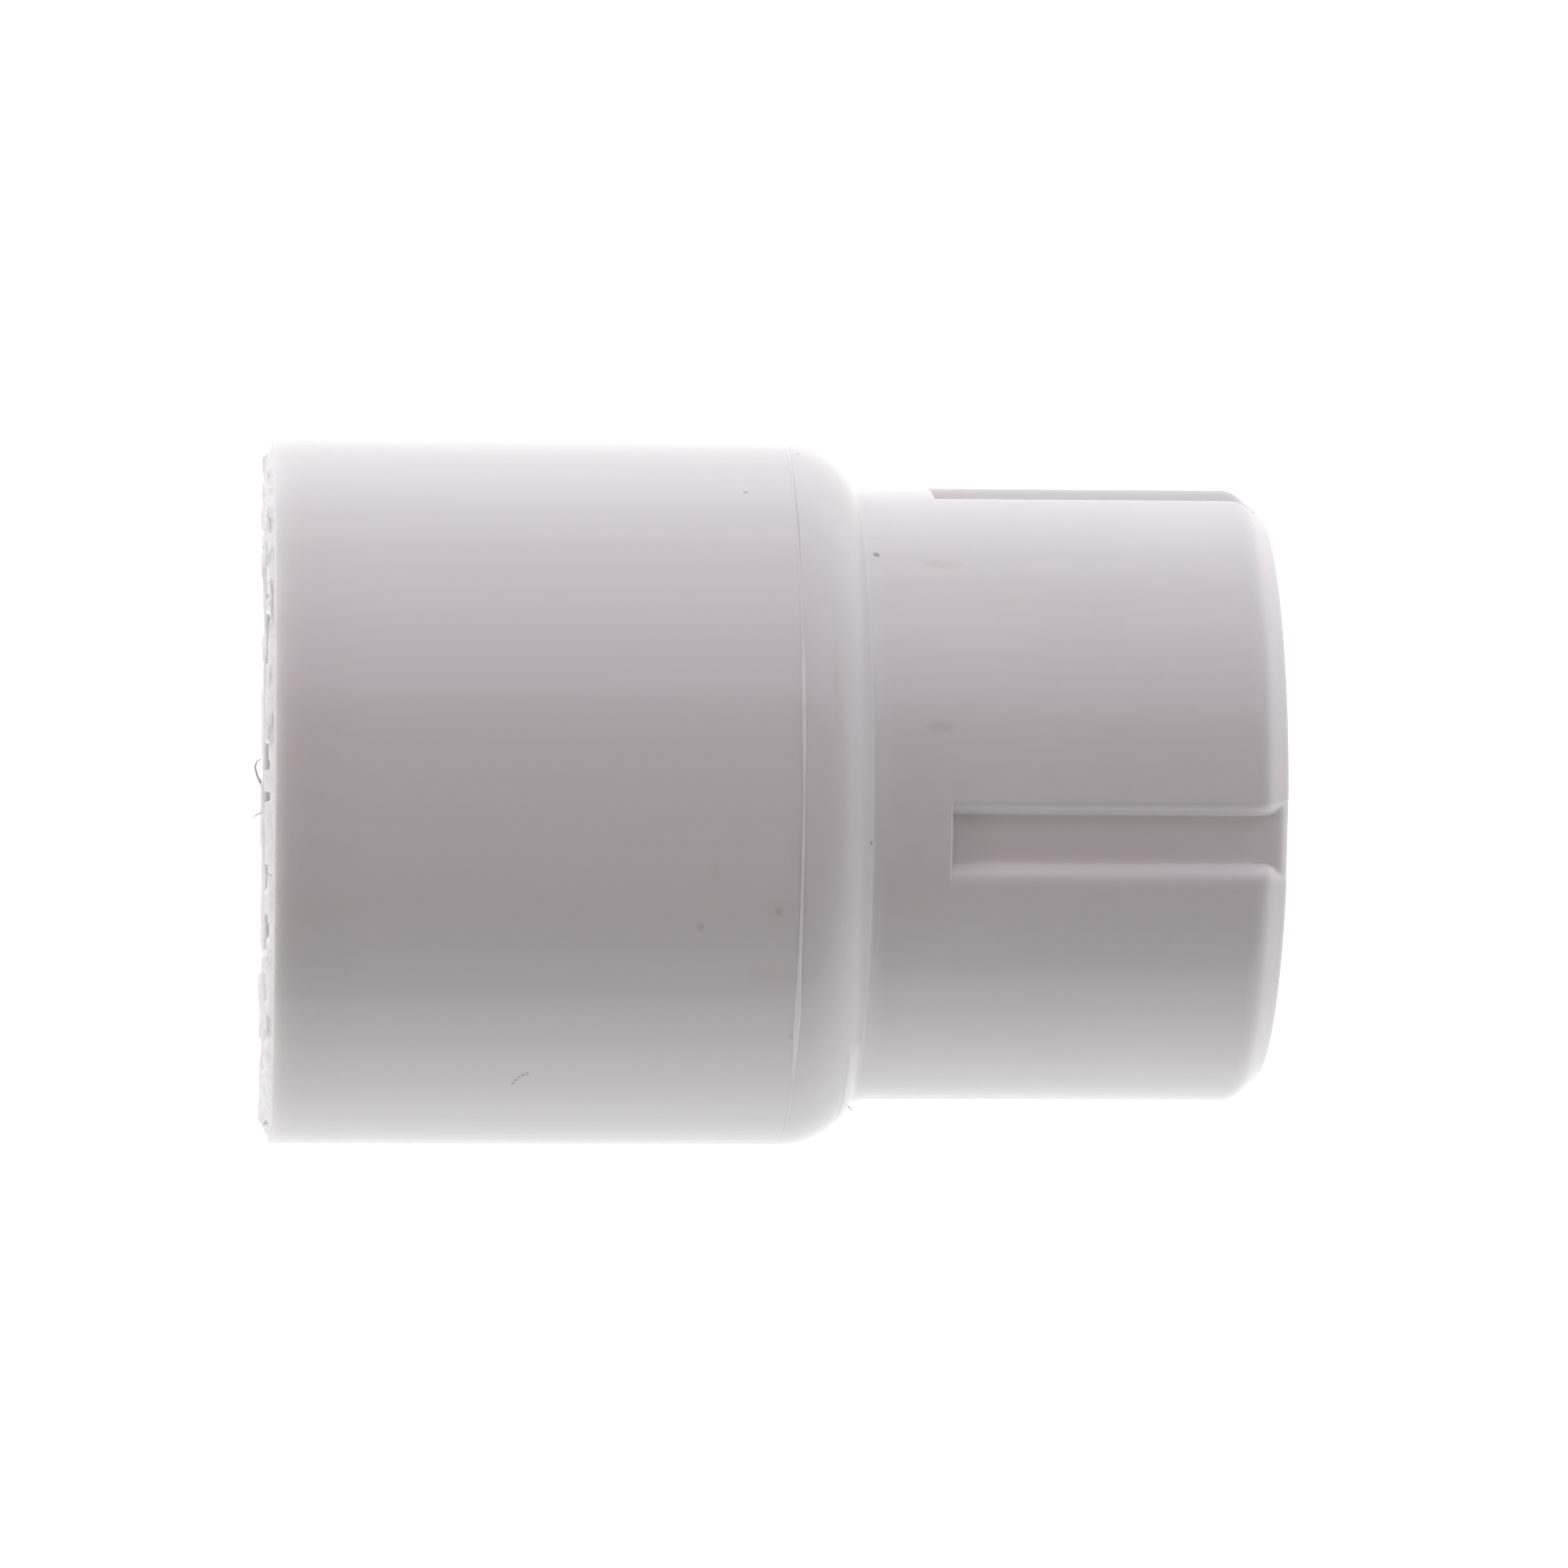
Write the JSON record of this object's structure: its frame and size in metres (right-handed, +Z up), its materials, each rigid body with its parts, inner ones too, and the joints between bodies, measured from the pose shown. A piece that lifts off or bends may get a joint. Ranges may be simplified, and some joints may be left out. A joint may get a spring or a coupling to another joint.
{
  "type": "pipe cap",
  "caption": "Glued pipe cap: a sawn stub of plastic pipe closed by a moulded hollow cap with a round shoulder and a grooved, blind nose.",
  "frame": {"origin": "on the surface that the part lies on, under the middle of its length", "axes": "+X along the pipe's axis, from the sawn mouth to the closed nose; +Z up"},
  "size_m": [0.086, 0.0602, 0.0603],
  "materials": {
    "pipe_pvc": "white extruded PVC, satin, with a rough sawn end",
    "cap_pvc": "white moulded PVC, satin",
    "set_cement": "dried clear solvent cement, glossy"
  },
  "bodies": {
    "root": {"pipe_stub": "pipe_pvc", "cap_body": "cap_pvc", "cement_bead": "set_cement"}
  },
  "joints": []
}
